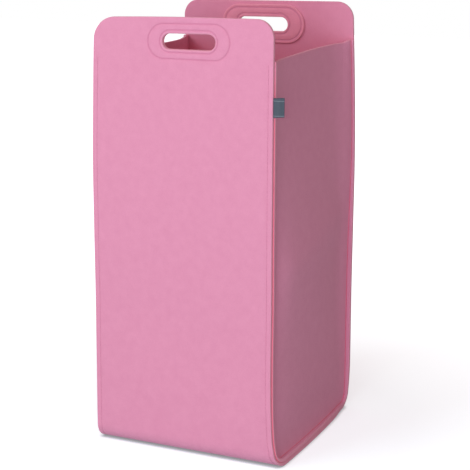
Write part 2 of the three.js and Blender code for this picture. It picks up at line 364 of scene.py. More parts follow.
def felt_piece(name, loops, guides, place, shade, material):
    """A piece of felt with its thickness: two faces on one triangulation and rounded edges between.

    loops: (points, outward normals, rounding) for each edge, holes going round with the clock.
    place(points, share) gives places in space, at a share of the way through the thickness, and
    shade(points, share) how much painted shade there is: from 0 to 1 a painted deeper, redder colour
    for shade and bounce light inside the hamper, from 1 to 2 a darker painted shade in its creases,
    and below 0 a painted shade along the lines that a thread presses in, by how far it presses.
    """
    rims = [points - normals * rounding for points, normals, rounding in loops]
    found, triangles, rings = triangulated(rims, guides)
    count = len(found)
    layers = [(found, 0.0), (found, 1.0)]
    faces = [*map(tuple, triangles), *map(tuple, triangles[:, ::-1] + count)]
    base = 2 * count
    sharp = []
    for (points, normals, rounding), ring in zip(loops, rings):
        size = len(ring)
        rows = [ring]
        for inset, share in cut_profile(rounding):
            layers.append((points - normals * rounding * inset, share))
            rows.append(list(range(base, base + size)))
            base += size
        rows.append([i + count for i in ring])
        split = ~normals.any(axis=1)
        corner = ~split & (np.roll(split, 1) | np.roll(split, -1))
        for upper, lower in zip(rows, rows[1:]):
            faces += [(upper[j], upper[i], lower[i], lower[j]) for i, j in ring_edges(0, size)]
            sharp += [(upper[i], lower[i]) for i in np.flatnonzero(corner)]
        for i, j in ring_edges(0, size):
            if split[i] or split[j]:
                sharp += [(row[i], row[j]) for row in (rows[0], rows[-1])]
    placed, shades, cut = [], [], []
    for points, share in layers:
        shares = np.full(len(points), share)
        placed.append(place(points, shares))
        shades.append(shade(points, shares))
        cut.append(np.clip(shares * (1 - shares) * CUT_SPREAD, 0, 1))
    vertices = np.concatenate(placed)
    first_three = np.array([f[:3] for f in faces])
    a, b, c = [vertices[first_three[:, i]] for i in range(3)]
    if np.einsum("ij,ij->i", a, np.cross(b, c)).sum() < 0:
        faces = [f[::-1] for f in faces]
    attributes = {"cut_edge": np.concatenate(cut), "shade": np.concatenate(shades)}
    return mesh_object(name, settle(vertices), faces, material, attributes, sharp)


# Painted shade and bounce light: the felt's colour is made deeper and redder inside the hamper, most
# in the corners, and darker in the creases of the seams and along the lines the stitches press in
RIM_SHADE = 0.12
INSIDE_SHADE = 0.3
INSIDE_FADE = (40 * MM, 140 * MM)  # below the hamper's top
CORNER_SHADE = 0.4
CORNER_FADE = (-10 * MM, 50 * MM)  # below the side panels' top
CREASE_REACH = 1.1 * MM
CREASE_AT = 0.8  # share of the side panel's turn
RING_CREASE = 0.7


def inside_shade(x, z, share):
    """Shade of the inner face at a height, and at a distance from the middle of the hamper."""
    depth = smooth_step(HEIGHT - z, *INSIDE_FADE)
    corner = smooth_step(abs(x), OUTER_START, HALF_WIDTH) * smooth_step(SIDE_TOP - z, *CORNER_FADE)
    return share ** 2 * (RIM_SHADE + INSIDE_SHADE * depth + CORNER_SHADE * corner)


# The strip, laid flat: x across it and v along it, v being the height on the wall and running
# on below zero round the bend and along the base
V_SPLIT = BEND - BEND * math.pi / 2 - (HALF_DEPTH - BEND - SPLIT_Y)
SEAM_OFFSETS = np.array([-4.2, -3, -2, -1, 0, 1, 2, 3, 4.2]) * MM
SEAM_CLEAR = 4 * MM
BEND_LINES = 8


def strip_place(p, inset):
    x, v = p[:, 0], p[:, 1]
    run = BEND - v
    angle = np.clip(run / BEND, 0, math.pi / 2)
    radius = BEND - inset
    y = -(HALF_DEPTH - BEND) - radius * np.cos(angle) + np.clip(run - BEND * math.pi / 2, 0, None)
    z = BEND - radius * np.sin(angle) + np.clip(v - BEND, 0, None)
    return np.stack([x, y, z], 1)


RIM_INSET = 4 * MM  # edge of the hand hole to its inner ring of stitches
HOLE_LESS = 2 * MM  # the felt closes the hand hole's height by this
HANDLE_DROP = {"front": 0.5 * MM, "back": 2 * MM}
RING_OFFSETS = np.array([-2, -1.2, -0.6, 0, 0.6, 1.2, 2]) * MM


class Handle:
    """Measures of a wall's hand hole, patch and rings, seen from outside that wall."""

    def __init__(self, wall, turn):
        low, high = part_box(f"{wall}_handle_patch")
        self.x = turn * (low.x + high.x) / 2
        self.z = (low.z + high.z) / 2 - HANDLE_DROP[wall]
        self.patch = (self.x, self.z, high.x - low.x, high.z - low.z)
        self.patch_back = -HALF_DEPTH + FACE_GAP
        self.patch_face = self.patch_back + (high.y - low.y)
        nodes = [f"{wall}_handle_{name}_needle_thread" for name in ("rim", "patch")]
        self.rings = [self.ring(node) for node in nodes]
        length, height = self.rings[0][2:]
        long, high = length - 2 * RIM_INSET, height - 2 * RIM_INSET - HOLE_LESS
        self.hole = (self.x, self.z - HOLE_LESS / 4, long, high)

    def ring(self, node):
        """A ring of stitches: its centre and its size along the middle of the thread."""
        low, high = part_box(node)
        thread = high.y - low.y
        return (self.x, self.z, high.x - low.x - thread, high.z - low.z - thread)

    def distances(self, p):
        return [stadium_distance(p, *ring) for ring in self.rings]

    def dents(self, p):
        return sum(dent(distance, RING_DENT, RING_REACH) for distance in self.distances(p))

    def creases(self, p):
        """Shade of the lines that the rings of stitches press into the felt."""
        return sum(dent(distance, RING_CREASE, CREASE_REACH) for distance in self.distances(p))

    def guides(self):
        """Closed lines round each ring, for the mesh to follow."""
        found = []
        for x, z, length, height in self.rings:
            for offset in RING_OFFSETS:
                loop = stadium(x, z, length + 2 * offset, height + 2 * offset, RING_STEP)
                found.append(np.concatenate([loop, loop[:1]]))
        return found


SEAM_PITCH = 6 * MM


def stitch_count(low, high):
    return round((high - low) / SEAM_PITCH)


def seam_dent(p, low, high):
    """Dent of the side seams along the strip, deeper at each needle hole."""
    v = p[:, 1]
    ended = smooth_step(high + SEAM_PAST - v, 0, SEAM_FADE)
    turns = (v - low) / (high - low) * stitch_count(low, high)
    hole = (0.5 - 0.5 * np.cos(2 * math.pi * turns)) ** 2
    return dent(abs(p[:, 0]) - STITCH_X, SEAM_DENT + HOLE_DENT * hole, SEAM_REACH) * ended


def seam_marks():
    """Places across the strip that the mesh follows along both seams."""
    marks = [sign * (STITCH_X + offset) for sign in (-1, 1) for offset in SEAM_OFFSETS]
    return [x for x in marks if abs(x) < HALF_WIDTH - CUT_ROUND * 1.2]


def seam_guides(low, high):
    """Lines along both seams, for the mesh to follow, with four points for each stitch."""
    step = (high - low) / (4 * stitch_count(low, high))
    lines = [(line((x, low), (x, high), step), [[x, high]]) for x in seam_marks()]
    return [np.concatenate(parts) for parts in lines]


def row_at(v, direction):
    """Points along a split line, with one at each line of the seam's mesh."""
    count = round(HALF_WIDTH / LONG_STEP)
    even = np.arange(-count, count + 1) * LONG_STEP
    even = even[abs(even) < STITCH_X - SEAM_CLEAR]
    xs = direction * np.array(sorted([*seam_marks(), *even, -HALF_WIDTH]))
    return np.stack([xs, np.full(len(xs), v)], 1)


def cut_normals(points, on_split):
    """Outward normals, with none along a split, where the next piece carries on."""
    normals = outward(points)
    normals[on_split] = 0
    corner = on_split & (abs(abs(points[:, 0]) - HALF_WIDTH) < NEAR)
    normals[corner] = np.stack([np.sign(points[corner, 0]), np.zeros(corner.sum())], 1)
    return normals


def wall_sheet(name, handle, turn, left_corner, material):
    hw = HALF_WIDTH
    right, left = TIGHT_CORNER, left_corner
    outline = np.concatenate([
        row_at(V_SPLIT, 1),
        line((hw, V_SPLIT), (hw, BEND), OUTLINE_STEP),
        line((hw, BEND), (hw, HEIGHT - right), LONG_STEP),
        arc((hw - right, HEIGHT - right), right, 0, math.pi / 2, OUTLINE_STEP),
        line((hw - right, HEIGHT), (left - hw, HEIGHT), LONG_STEP),
        arc((left - hw, HEIGHT - left), left, math.pi / 2, math.pi, OUTLINE_STEP),
        line((-hw, HEIGHT - left), (-hw, BEND), LONG_STEP),
        line((-hw, BEND), (-hw, V_SPLIT), OUTLINE_STEP),
    ])
    normals = cut_normals(outline, outline[:, 1] < V_SPLIT + NEAR)
    hole = stadium(*handle.hole, HOLE_STEP)[::-1]
    loops = [(outline, normals, CUT_ROUND), (hole, outward(hole), RIM_ROUND)]
    guides = handle.guides() + seam_guides(V_SPLIT, STITCH_TOP)
    bend_angles = np.arange(1, BEND_LINES) * math.pi / (2 * BEND_LINES)
    guides += [row_at(BEND - BEND * angle, 1)[1:] for angle in bend_angles]

    def place(p, share):
        front = seam_dent(p, V_SPLIT, STITCH_TOP) + handle.dents(p)
        return strip_place(p, front + (FELT - front) * share) * [turn, turn, 1]

    def shade(p, share):
        return inside_shade(p[:, 0], p[:, 1], share) - handle.creases(p) * (1 - share)

    return felt_piece(name, loops, guides, place, shade, material)


def base_sheet(name, material):
    hw = HALF_WIDTH
    outline = np.concatenate([
        row_at(-SPLIT_Y, 1),
        line((hw, -SPLIT_Y), (hw, SPLIT_Y), LONG_STEP),
        row_at(SPLIT_Y, -1),
        line((-hw, SPLIT_Y), (-hw, -SPLIT_Y), LONG_STEP),
    ])
    normals = cut_normals(outline, abs(outline[:, 1]) > SPLIT_Y - NEAR)
    guides = seam_guides(-SPLIT_Y, SPLIT_Y)

    def place(p, share):
        under = seam_dent(p, -SPLIT_Y, SPLIT_Y)
        return np.stack([p[:, 0], p[:, 1], under + (FELT - under) * share], 1)

    def shade(p, share):
        return inside_shade(p[:, 0], np.zeros(len(p)), share)

    return felt_piece(name, [(outline, normals, CUT_ROUND)], guides, place, shade, material)


def patch_sheet(name, handle, turn, material):
    outline = stadium(*handle.patch, OUTLINE_STEP)
    hole = stadium(*handle.hole, HOLE_STEP)[::-1]
    loops = [(outline, outward(outline), CUT_ROUND), (hole, outward(hole), PATCH_RIM_ROUND)]
    thick = handle.patch_face - handle.patch_back

    def place(p, share):
        front = handle.dents(p)
        y = handle.patch_face - front - (thick - front) * share
        return np.stack([p[:, 0], y, p[:, 1]], 1) * [turn, turn, 1]

    def shade(p, share):
        return -handle.creases(p) * (1 - share)

    return felt_piece(name, loops, handle.guides(), place, shade, material)


# A side panel, laid flat in its own plane: the edges past the turn are folded out
TURN_INSET = FLANGE_FACE + TURN  # from the outside of the strip to where the panel starts to turn
MID_RADIUS = TURN + FELT / 2
TURN_RUN = MID_RADIUS * math.pi / 2
EDGE_END = HALF_WIDTH + 1.6 * MM  # the turned-out edge shows past the strip's cut edge
PANEL_EDGE = TURN_INSET - TURN_RUN - (EDGE_END - FLANGE_X)  # inset of the cut edge, laid flat
DENT_START = 0.6  # share of the turn from which the stitches may dent the edge
FLAT_INSETS = TURN_INSET - np.concatenate([
    TURN_RUN * np.arange(0, 7) / 6,
    TURN_RUN + np.array([0.7, 1.4, 2.2, 3.2, 4.4, 6, 7.6]) * MM,
])

# The panels bulge out over their seams, and belly between them
BASE_BULGE = 5 * MM
FRONT_BULGE = 6.8 * MM
BACK_BULGE = 3.6 * MM
BACK_BULGE_HIGH = 7 * MM
BACK_BULGE_RISE = (240 * MM, 480 * MM)
BASE_BULGE_FADE = (20 * MM, 80 * MM)
BULGE_STOP = EDGE_END - 1.1 * CUT_ROUND  # the rounded edge past it keeps its shape
BULGE_REACH = 30 * MM
BELLY = 13 * MM  # at the panel's middle, more in front and less behind
BELLY_SLOPE = 0.05
BELLY_CURVE = 0.42
BELLY_BELL = (270 * MM, 180 * MM)
LOW_BELLY = 5 * MM
LOW_BELLY_BELL = (75 * MM, 70 * MM)
FOLD = 5 * MM  # a soft ridge across the panel, left from folding it
FOLD_Z = 312 * MM
FOLD_SLOPE = 0.19
FOLD_REACH = 34 * MM


def panel_bulge(y, z):
    """How far a side panel stands out: beside the walls, above the base and in its belly."""
    beside_wall = bell(np.clip(HALF_DEPTH - abs(y) - TURN_INSET, 0, None), 0, BULGE_REACH)
    above_base = bell(np.clip(z - TURN_INSET, 0, None), 0, BULGE_REACH)
    back_bulge = BACK_BULGE + (BACK_BULGE_HIGH - BACK_BULGE) * smooth_step(z, *BACK_BULGE_RISE)
    wall_bulge = np.where(y > 0, back_bulge, FRONT_BULGE)
    most = BASE_BULGE + (wall_bulge - BASE_BULGE) * smooth_step(z, *BASE_BULGE_FADE)
    free = (1 - beside_wall) * (1 - above_base)
    belly = (BELLY - BELLY_SLOPE * y - BELLY_CURVE * y ** 2) * bell(z, *BELLY_BELL)
    belly += LOW_BELLY * bell(z, *LOW_BELLY_BELL)
    fold = FOLD / (1 + ((z - FOLD_Z - FOLD_SLOPE * y) / FOLD_REACH) ** 2)
    return most * (1 - free) + (belly + fold) * free


def bulged(x, bulge):
    """Moves a panel out by its bulge, which leaves less of its turned-out edge in sight."""
    drawn_in = BULGE_STOP - (BULGE_STOP - x) * (1 - bulge / (BULGE_STOP - FLANGE_X))
    return np.where(x > BULGE_STOP, x, np.where(x > FLANGE_X, drawn_in, x + bulge))


def edge_dent(flat):
    """Dent of the stitches on the turned-out edge, at a distance from the turn."""
    return dent(flat - (STITCH_X - FLANGE_X), EDGE_DENT, SEAM_REACH)


def panel_inset(y, z):
    """Distance of the panel's points, laid flat, from the outside of the strip."""
    round_corner = (abs(y) > HALF_DEPTH - BEND) & (z < BEND)
    radius = np.hypot(y - np.sign(y) * (HALF_DEPTH - BEND), z - BEND)
    on_base = (z < BEND) & ~round_corner
    inset = np.where(round_corner, BEND - radius, np.where(on_base, z, HALF_DEPTH - abs(y)))
    return inset, radius, round_corner, on_base


def panel_shade(p, share):
    """Shade of a side panel: its inner face, and the crease where its edge turns out."""
    inset = panel_inset(p[:, 0], p[:, 1])[0]
    crease = bell(inset, TURN_INSET - TURN_RUN * CREASE_AT, CREASE_REACH) * (1 - share)
    return inside_shade(np.full(len(p), HALF_WIDTH), p[:, 1], share) + 2 * crease


def panel_place(p, share, side, turn):
    y, z = p[:, 0], p[:, 1]
    inset, radius, round_corner, on_base = panel_inset(y, z)
    near = inset < TURN_INSET
    out = np.clip(TURN_INSET - inset, 0, None)
    angle = np.clip(out / MID_RADIUS, 0, math.pi / 2)
    flat = np.clip(out - TURN_RUN, 0, None)
    depth = edge_dent(flat) * (near & (out > TURN_RUN * DENT_START))
    r = TURN + depth + (FELT - depth) * share
    x = np.where(near, FLANGE_X - r * np.cos(angle) + flat, PANEL_OUTER_X - FELT * share)
    x = bulged(x, panel_bulge(turn * y, z))
    n = np.where(near, TURN_INSET - r * np.sin(angle), inset)
    centre_y = np.sign(y) * (HALF_DEPTH - BEND)
    length = np.maximum(radius, 1e-9)
    corner_y = centre_y + np.where(round_corner, (y - centre_y) / length, 0) * (BEND - n)
    corner_z = BEND + np.where(round_corner, (z - BEND) / length, 0) * (BEND - n)
    straight_y = np.where(on_base, y, np.sign(y) * (HALF_DEPTH - n))
    new_y = np.where(round_corner, corner_y, straight_y)
    new_z = np.where(round_corner, corner_z, np.where(on_base, n, z))
    return np.stack([side * x, new_y, new_z], 1)


def half_u(inset, top):
    """Half of the panel's U at an inset, from its top in front to the split line on the base."""
    radius = BEND - inset
    centre = -(HALF_DEPTH - BEND)
    step = min(OUTLINE_STEP, radius / 4)
    return np.concatenate([
        line((inset - HALF_DEPTH, top), (inset - HALF_DEPTH, BEND), LONG_STEP),
        arc((centre, BEND), radius, math.pi, 1.5 * math.pi, step),
        line((centre, inset), (-SPLIT_Y, inset), OUTLINE_STEP),
    ])


def panel_sheet(name, path, split, back, side, turn, material):
    """A part of a side panel: along the seam, up the split line, and back over its top."""
    insets = [PANEL_EDGE, *FLAT_INSETS[::-1]]
    outline = np.concatenate([
        path(PANEL_EDGE, SIDE_TOP),
        np.array([(split, inset) for inset in insets[:-1]]),
        line((split, insets[-1]), (split, SIDE_TOP), LONG_STEP),
        *back,
    ])
    on_split = abs(abs(outline[:, 0]) - SPLIT_Y) < NEAR
    normals = outward(outline)
    normals[on_split] = 0
    normals[on_split & (outline[:, 1] > SIDE_TOP - NEAR)] = (0, 1)
    normals[on_split & (outline[:, 1] < PANEL_EDGE + NEAR)] = (0, -1)
    guides = []
    for inset in FLAT_INSETS:
        guides.append(np.concatenate([path(inset, SIDE_TOP - CUT_ROUND), [(split, inset)]]))

    def place(p, share):
        return panel_place(p, share, side, turn) * [turn, turn, 1]

    return felt_piece(name, [(outline, normals, CUT_ROUND)], guides, place, panel_shade, material)


def panel_edge_sheet(name, side, turn, material):
    """The strip of side panel that travels with a wall, with its turned-out edge."""
    tops = np.array([(inset - HALF_DEPTH, SIDE_TOP) for inset in FLAT_INSETS])
    back = [line((-SPLIT_Y, SIDE_TOP), tuple(tops[0]), OUTLINE_STEP), tops]
    return panel_sheet(name, half_u, -SPLIT_Y, back, side, turn, material)


def panel_middle_sheet(name, side, material):
    """The soft middle of a side panel, with its turned-out edge along the base."""
    low, high = -SPLIT_Y, SPLIT_Y
    back = [
        line((high, SIDE_TOP), (low, SIDE_TOP), LONG_STEP),
        line((low, SIDE_TOP), (low, FLAT_INSETS[0]), LONG_STEP),
        np.array([(low, inset) for inset in FLAT_INSETS]),
    ]

    def path(inset, top):
        return line((low, inset), (high, inset), LONG_STEP)

    return panel_sheet(name, path, high, back, side, 1, material)


# Materials
class Nodes:
    """Short names for building a node tree."""

    def __init__(self, tree):
        self.tree = tree

    def fill(self, node, inputs):
        """Gives a node's inputs their values, or links them to other nodes' outputs."""
        for key, value in inputs.items():
            if isinstance(value, bpy.types.NodeSocket):
                self.tree.links.new(value, node.inputs[key])
            else:
                node.inputs[key].default_value = value

    def make(self, kind, inputs=None, **settings):
        node = self.tree.nodes.new(kind)
        for key, value in settings.items():
            setattr(node, key, value)
        self.fill(node, inputs or {})
        return node

    def add(self, kind, inputs=None, pick=0, **settings):
        """Makes a node and gives one of its outputs."""
        return self.make(kind, inputs, **settings).outputs[pick]

    def math(self, operation, a, b=None, clamp=False):
        inputs = {0: a} if b is None else {0: a, 1: b}
        return self.add("ShaderNodeMath", inputs, operation=operation, use_clamp=clamp)

    def noise(self, place, scale, detail, roughness):
        inputs = {"Vector": place, "Scale": scale, "Detail": detail, "Roughness": roughness}
        return self.add("ShaderNodeTexNoise", inputs)

    def spread(self, value, low, high, to_low=0.0, to_high=1.0):
        inputs = {"Value": value, "From Min": low, "From Max": high}
        inputs |= {"To Min": to_low, "To Max": to_high}
        return self.add("ShaderNodeMapRange", inputs)

    def mix(self, factor, a, b):
        """Mixes two colours, whose sockets come after those for numbers and vectors."""
        inputs = {0: factor, 6: a, 7: b}
        return self.add("ShaderNodeMix", inputs, 2, data_type="RGBA")

    def bump(self, height, strength, distance):
        inputs = {"Height": height, "Strength": strength, "Distance": distance}
        return self.add("ShaderNodeBump", inputs)


def node_group(name, kind, given, results):
    """A group's nodes, the sockets of its named inputs, and the node for its outputs."""
    tree = bpy.data.node_groups.new(name, kind)
    for in_out, sockets in (("INPUT", given), ("OUTPUT", results)):
        for socket, sort in sockets.items():
            tree.interface.new_socket(socket, in_out=in_out, socket_type=f"NodeSocket{sort}")
    n = Nodes(tree)
    return n, n.make("NodeGroupInput").outputs, n.make("NodeGroupOutput")


def new_material(name):
    material = bpy.data.materials.new(name)
    material.use_nodes = True
    return material, Nodes(material.node_tree), material.node_tree.nodes["Principled BSDF"]


def linear(colour):
    """A colour written as on a screen, 0 to 255, as Blender's linear values."""
    shares = [c / 255 for c in colour]
    return (*[s / 12.92 if s <= 0.04045 else ((s + 0.055) / 1.055) ** 2.4 for s in shares], 1)


# Shade Colour is a painted shade and red bounce light inside the hamper, Crease Colour a painted
# shade in the creases, and Deep Colour both the felt's own mottle and the painted shade along the
# pressed stitch lines
COLOURS = ("Colour", "Deep Colour", "Cut Colour", "Shade Colour", "Crease Colour")
FELT_COLOURS = ((228, 154, 186), (205, 122, 158), (233, 162, 188), (255, 126, 154), (190, 84, 116))
PATCH_COLOURS = ((243, 158, 185), (202, 112, 146), (240, 164, 186), (250, 122, 148), (190, 84, 116))
FIBRE_SCALE = 900
FIBRE_LONG = (1, 0.13, 1)  # the pattern is drawn out along its second axis
FIBRE_TURNS = ((0.2, 0.5, 0.9), (1.1, 2.0, 0.3), (2.3, 0.9, 1.9), (0.7, 1.6, 2.6))
FIBRE_WIDE = 0.12
WARP_SCALE = 260
WARP = (4 * MM, 4 * MM, 4 * MM)
CLOUDS = (70, 4, 0.62)  # scale, detail and roughness of the wide mottling, and of the fine one
SPECKS = (420, 3, 0.7)
CLOUD_SHARE = 0.62
MOTTLE = 0.22


def felt_group():
    """Matted fibres: a colour, a roughness and a height from the place on the piece, with painted
    shade mixed into the colour.
    """
    numbers = ("Cut Edge", "Shade", "Fibre Scale", "Mottle")
    sockets = dict.fromkeys(COLOURS, "Color") | dict.fromkeys(numbers, "Float")
    results = {"Colour": "Color", "Roughness": "Float", "Height": "Float"}
    n, given, result = node_group("matted_felt", "ShaderNodeTree", sockets, results)
    place = n.add("ShaderNodeTexCoord", pick="Object")
    warp = {"Vector": place, "Scale": WARP_SCALE, "Detail": 2}
    warp = n.add("ShaderNodeTexNoise", warp, "Color")
    bent = n.add("ShaderNodeVectorMath", {0: warp, 1: WARP, 2: place}, operation="MULTIPLY_ADD")
    fibres = None
    for turn in FIBRE_TURNS:
        turned = {"Vector": bent, "Rotation": turn, "Scale": FIBRE_LONG}
        turned = n.add("ShaderNodeMapping", turned)
        ridge = n.noise(turned, given["Fibre Scale"], 1.5, 0.5)
        ridge = n.math("ABSOLUTE", n.math("SUBTRACT", ridge, 0.5))
        ridge = n.spread(ridge, 0.0, FIBRE_WIDE, 1.0, 0.0)
        fibres = ridge if fibres is None else n.math("MAXIMUM", fibres, ridge)
    cloud = n.math("MULTIPLY", n.noise(place, *CLOUDS), CLOUD_SHARE)
    speck = n.noise(place, *SPECKS)
    blotch = n.math("ADD", cloud, n.math("MULTIPLY", speck, 1 - CLOUD_SHARE))
    blotch = n.spread(blotch, 0.36, 0.64)
    depth = n.math("MULTIPLY", n.math("SUBTRACT", 1.0, blotch), given["Mottle"], True)
    # Painted shade: Shade from 0 to 1 mixes in the deeper, redder Shade Colour for shade and bounce
    # light inside, from 1 to 2 the painted crease shade, and below 0 the painted shade of the pressed
    # stitch lines
    inner = n.math("MAXIMUM", n.math("MINIMUM", given["Shade"], 1.0), 0.0)
    crease = n.math("SUBTRACT", given["Shade"], 1.0, True)
    pressed = n.math("MULTIPLY", given["Shade"], -1.0, True)
    surface = n.mix(inner, given["Colour"], given["Shade Colour"])
    surface = n.mix(depth, surface, n.mix(inner, given["Deep Colour"], given["Shade Colour"]))
    surface = n.mix(n.spread(fibres, 0.15, 0.9, 0.35, 0.0), surface, given["Deep Colour"])
    surface = n.mix(crease, surface, given["Crease Colour"])
    surface = n.mix(pressed, surface, given["Deep Colour"])
    heights = (n.math("MULTIPLY", fibres, 0.7), n.math("MULTIPLY", speck, 0.5))
    n.fill(result, {
        "Colour": n.mix(given["Cut Edge"], surface, given["Cut Colour"]),
        "Roughness": n.spread(fibres, 0, 1, 1.0, 0.86),
        "Height": n.math("ADD", *heights),
    })
    return n.tree


def felt_material(name, group, colours):
    material, n, shader = new_material(name)
    inputs = {socket: linear(colour) for socket, colour in zip(COLOURS, colours)}
    inputs |= {"Fibre Scale": FIBRE_SCALE, "Mottle": MOTTLE}
    for key, socket in (("cut_edge", "Cut Edge"), ("shade", "Shade")):
        inputs[socket] = n.add("ShaderNodeAttribute", pick="Fac", attribute_name=key)
    felt = n.make("ShaderNodeGroup", inputs, node_tree=group).outputs
    n.fill(shader, {
        "Base Color": felt["Colour"],
        "Roughness": felt["Roughness"],
        "Normal": n.bump(felt["Height"], 0.55, 0.25 * MM),
        "Specular IOR Level": 0.2,
        "Sheen Weight": 0.25,
        "Sheen Roughness": 0.6,
        "Sheen Tint": linear((255, 225, 235)),
    })
    return material


def thread_material():
    """Twisted sewing thread, a little shiny, with fine slanted plies."""
    material, n, shader = new_material("sewing_thread")
    place = n.add("ShaderNodeTexCoord", pick="Object")
    twist = {"Vector": place, "Scale": 900, "Distortion": 1.5}
    ply = n.add("ShaderNodeTexWave", twist, "Fac", bands_direction="DIAGONAL")
    tone = n.math("MULTIPLY", n.noise(place, 60, 2, 0.5), 0.4)
    blend = n.math("ADD", n.math("MULTIPLY", ply, 0.6), tone)
    n.fill(shader, {
        "Base Color": n.mix(blend, linear((196, 118, 152)), linear((226, 146, 180))),
        "Roughness": n.spread(ply, 0, 1, 0.62, 0.42),
        "Normal": n.bump(ply, 0.5, 0.08 * MM),
        "Sheen Weight": 0.2,
    })
    return material


# Stitches
RING_PITCH = 3.6 * MM
STITCH_SHARE = 0.86  # of the pitch
THREAD = 0.36 * MM
STITCH_ARCH = 0.3 * MM
STITCH_WANDER = 0.04
RING_LIFT = THREAD * 0.4  # middle of the thread above the dented felt
SEAM_LIFT = THREAD * 0.3
ARCH_STEPS = 5
THREAD_SIDES = 6


def stitch_tree():
    """Arched stitches with tucked-in ends, one after the other along the edges of a mesh."""
    lengths = ("Stitch Length", "Thread Radius", "Arch", "Wander")
    sockets = {"Geometry": "Geometry"} | dict.fromkeys(lengths, "Float")
    sockets |= {"Count": "Int", "Seed": "Int", "Thread": "Material"}
    results = {"Geometry": "Geometry"}
    n, given, result = node_group("stitch_row", "GeometryNodeTree", sockets, results)
    path = n.add("GeometryNodeMeshToCurve", {"Mesh": given["Geometry"]})
    spaced = {"Curve": path, "Count": given["Count"]}
    spaced = n.add("GeometryNodeResampleCurve", spaced, mode="COUNT")
    half = n.math("MULTIPLY", given["Stitch Length"], 0.5)
    tucked = n.math("MULTIPLY", given["Arch"], -1.0)
    bow = {
        "Start": {"X": n.math("MULTIPLY", half, -1.0), "Z": tucked},
        "Middle": {"Z": given["Arch"]},
        "End": {"X": half, "Z": tucked},
    }
    bow = {name: n.add("ShaderNodeCombineXYZ", at) for name, at in bow.items()}
    bow = n.add("GeometryNodeCurveQuadraticBezier", bow | {"Resolution": ARCH_STEPS})
    section = {"Resolution": THREAD_SIDES, "Radius": given["Thread Radius"]}
    section = n.add("GeometryNodeCurvePrimitiveCircle", section)
    tube = {"Curve": bow, "Profile Curve": section, "Fill Caps": True}
    tube = n.add("GeometryNodeCurveToMesh", tube)
    ahead = {"Vector": n.add("GeometryNodeInputTangent")}
    ahead = n.add("FunctionNodeAlignRotationToVector", ahead, axis="X")
    out = {"Name": "face_normal"}
    out = n.add("GeometryNodeInputNamedAttribute", out, data_type="FLOAT_VECTOR")
    upright = {"Rotation": ahead, "Vector": out}
    upright = n.add("FunctionNodeAlignRotationToVector", upright, axis="Z", pivot_axis="X")
    least = n.math("MULTIPLY", given["Wander"], -1.0)
    wander = {2: least, 3: given["Wander"], "Seed": given["Seed"]}
    wander = n.add("FunctionNodeRandomValue", wander, 1, data_type="FLOAT")
    turned = {"Rotation": upright, "Rotate By": n.add("ShaderNodeCombineXYZ", {"Z": wander})}
    turned = n.add("FunctionNodeRotateRotation", turned, rotation_space="LOCAL")
    stitches = {"Points": spaced, "Instance": tube, "Rotation": turned}
    stitches = n.add("GeometryNodeInstanceOnPoints", stitches)
    real = n.add("GeometryNodeRealizeInstances", {"Geometry": stitches})
    sewn = n.add("GeometryNodeSetMaterial", {"Geometry": real, "Material": given["Thread"]})
    n.fill(result, {"Geometry": sewn})
    return n.tree


class Sewing:
    """Sews rows of stitches, each with a seed of its own."""

    def __init__(self):
        self.thread = thread_material()
        self.tree = stitch_tree()
        self.seed = 0

    def row(self, name, points, normals, pitch, count=None):
        """Sews along a line of points on the felt, whose face looks along the normals.

        count is the number of stitches of an open line; a closed ring is given None.
        """
        self.seed += 1
        last = len(points) - 1
        edges = [(i, i + 1) for i in range(last)]
        if count is None:
            edges.append((last, 0))
            length = np.linalg.norm(points - np.roll(points, 1, 0), axis=1).sum()
            stations = round(length / pitch)
        else:
            stations = count + 1
        name += "_stitches"
        mesh = bpy.data.meshes.new(name + "_path")
        mesh.from_pydata([tuple(p) for p in points], edges, [])
        layer = mesh.attributes.new("face_normal", "FLOAT_VECTOR", "POINT")
        layer.data.foreach_set("vector", np.asarray(normals, np.float32).ravel())
        path = linked(name + "_path", mesh)
        modifier = path.modifiers.new("stitches", "NODES")
        modifier.node_group = self.tree
        values = {
            "Count": stations, "Stitch Length": pitch * STITCH_SHARE, "Thread Radius": THREAD,
            "Arch": STITCH_ARCH, "Wander": STITCH_WANDER, "Seed": self.seed, "Thread": self.thread,
        }
        for item in self.tree.interface.items_tree:
            if item.in_out == "INPUT" and item.name in values:
                modifier[item.identifier] = values[item.name]
        bpy.context.view_layer.update()
        evaluated = path.evaluated_get(bpy.context.evaluated_depsgraph_get())
        row = bpy.data.meshes.new_from_object(evaluated)
        row.name = name
        row.polygons.foreach_set("use_smooth", [True] * len(row.polygons))
        for spare in [a.name for a in row.attributes if a.name == "face_normal"]:
            row.attributes.remove(row.attributes[spare])
        path.modifiers.clear()
        bpy.data.objects.remove(path)
        return linked(name, row)

    def pair(self, name, body, flat, outside, within, lift, pitch, count=None):
        """A needle thread outside and a bobbin thread inside, along the same flat line."""
        for kind, place, facing in (("needle", outside, 1), ("bobbin", within, -1)):
            points, normals = sewn_line(flat, place, lift, facing)
            row = self.row(f"{name}_{kind}", points, normals, pitch, count)
            finished(row, body, "thread", f"{name}_{kind}_thread")


def sewn_line(flat, place, lift, facing):
    """Settled points and face normals of a line of stitches, from its flat points."""
    step = 0.2 * MM
    here = settle(place(flat))
    across = settle(place(flat + [step, 0])) - here
    along = settle(place(flat + [0, step])) - here
    normals = np.cross(across, along) * facing
    normals /= np.linalg.norm(normals, axis=1)[:, None]
    return here + normals * lift, normals


def seam_flat(x, low, high):
    """A seam's flat line of points, from its high end to its low one."""
    count = round((high - low) / (2 * MM))
    return np.stack([np.full(count + 1, x), np.linspace(high, low, count + 1)], 1)


